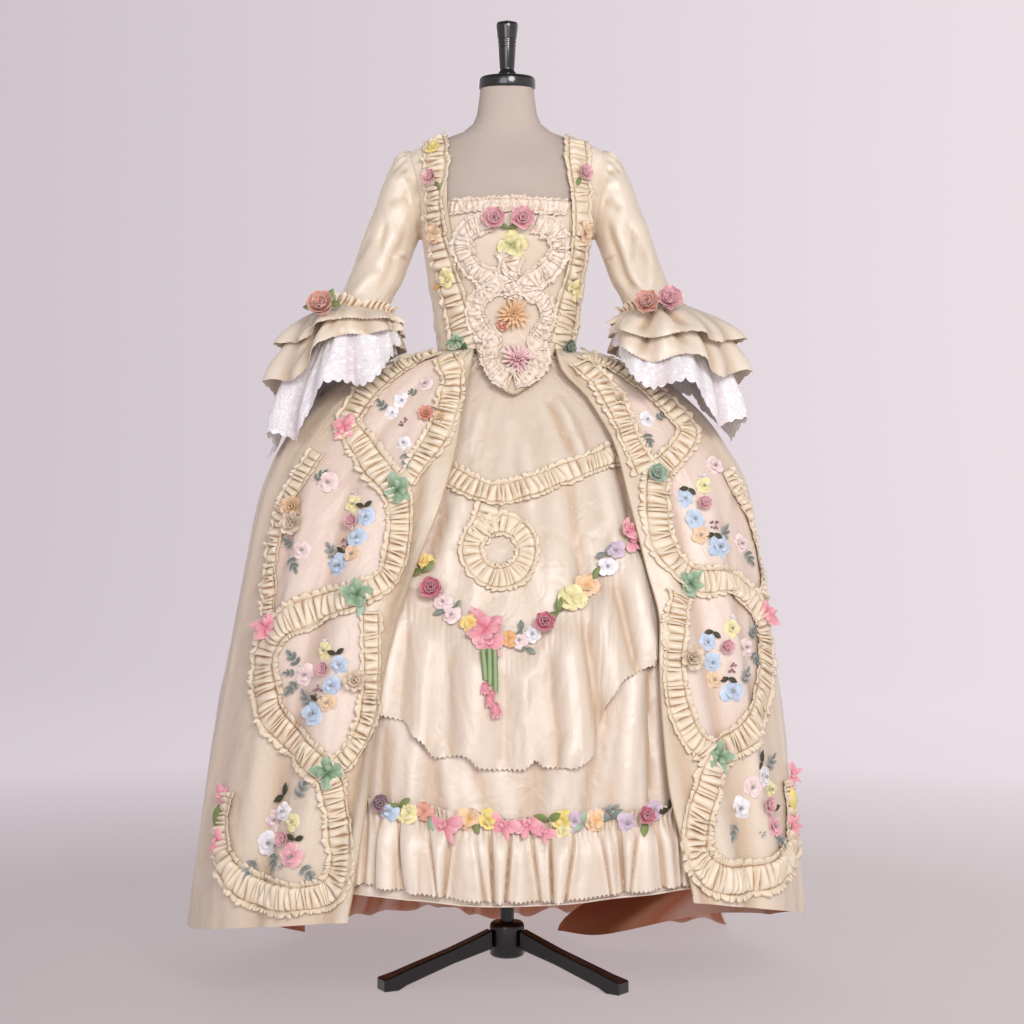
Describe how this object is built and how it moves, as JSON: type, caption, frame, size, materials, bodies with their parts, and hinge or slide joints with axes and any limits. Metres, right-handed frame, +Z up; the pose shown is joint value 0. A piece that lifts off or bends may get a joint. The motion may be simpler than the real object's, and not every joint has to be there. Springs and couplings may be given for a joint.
{
  "type": "sack-back court gown with a train on a limbless dress form and stand",
  "caption": "Open sack-back gown of pale satin with ruched trims, ribbon flowers, flounced elbow sleeves, trimmed petticoat and short train, on a limbless dress form with a three-legged stand",
  "frame": {"origin": "centre of the bounding box in X and Y, on the floor", "axes": "+Z up; the front of the gown faces -Y and its train runs to +Y; +X is to the right seen from the front"},
  "size_m": [1.1011, 1.3455, 1.7241],
  "materials": {
    "linen": "unbleached linen stretched over the form",
    "black": "gloss black",
    "satin": "champagne duchess satin",
    "trim": "ruched champagne ribbon with pinked edges",
    "lace": "white floral lace",
    "flowers": "satin ribbon flowers in rose, yellow, blue and green"
  },
  "bodies": {
    "root": {"bodice_back_left": "satin", "bodice_back_right": "satin", "bodice_front_left": "satin", "bodice_front_right": "satin", "cuff_roses_left": "flowers", "cuff_roses_right": "flowers", "form_knob": "black", "form_neck_cap": "black", "form_torso": "linen", "garland_tassel": "flowers", "hem_garland": "flowers", "lace_ruffle_left": "lace", "lace_ruffle_right": "lace", "neckline_frill": "trim", "petticoat_back": "satin", "petticoat_front": "satin", "petticoat_garland": "flowers", "petticoat_hem_flounce": "satin", "petticoat_overlay": "satin", "petticoat_rosette": "trim", "petticoat_swag": "trim", "robe_front_left": "satin", "robe_front_right": "satin", "robe_side_left": "satin", "robe_side_right": "satin", "robe_trim_left_low": "trim", "robe_trim_left_serpentine": "trim", "robe_trim_left_side": "trim", "robe_trim_left_top": "trim", "robe_trim_right_low": "trim", "robe_trim_right_serpentine": "trim", "robe_trim_right_side": "trim", "robe_trim_right_top": "trim", "robing_left": "trim", "robing_right": "trim", "sack_back": "satin", "satin_flounce_left": "satin", "satin_flounce_right": "satin", "satin_upper_flounce_left": "satin", "satin_upper_flounce_right": "satin", "sleeve_frill_left": "satin", "sleeve_frill_right": "satin", "sleeve_left": "satin", "sleeve_right": "satin", "spray_left_lower": "flowers", "spray_left_middle": "flowers", "spray_left_upper": "flowers", "spray_right_lower": "flowers", "spray_right_middle": "flowers", "spray_right_upper": "flowers", "stand_hub": "black", "stand_leg_1": "black", "stand_leg_2": "black", "stand_leg_3": "black", "stand_pole": "black", "stomacher": "satin", "stomacher_flowers": "flowers", "stomacher_scroll_left": "trim", "stomacher_scroll_right": "trim"}
  },
  "joints": []
}
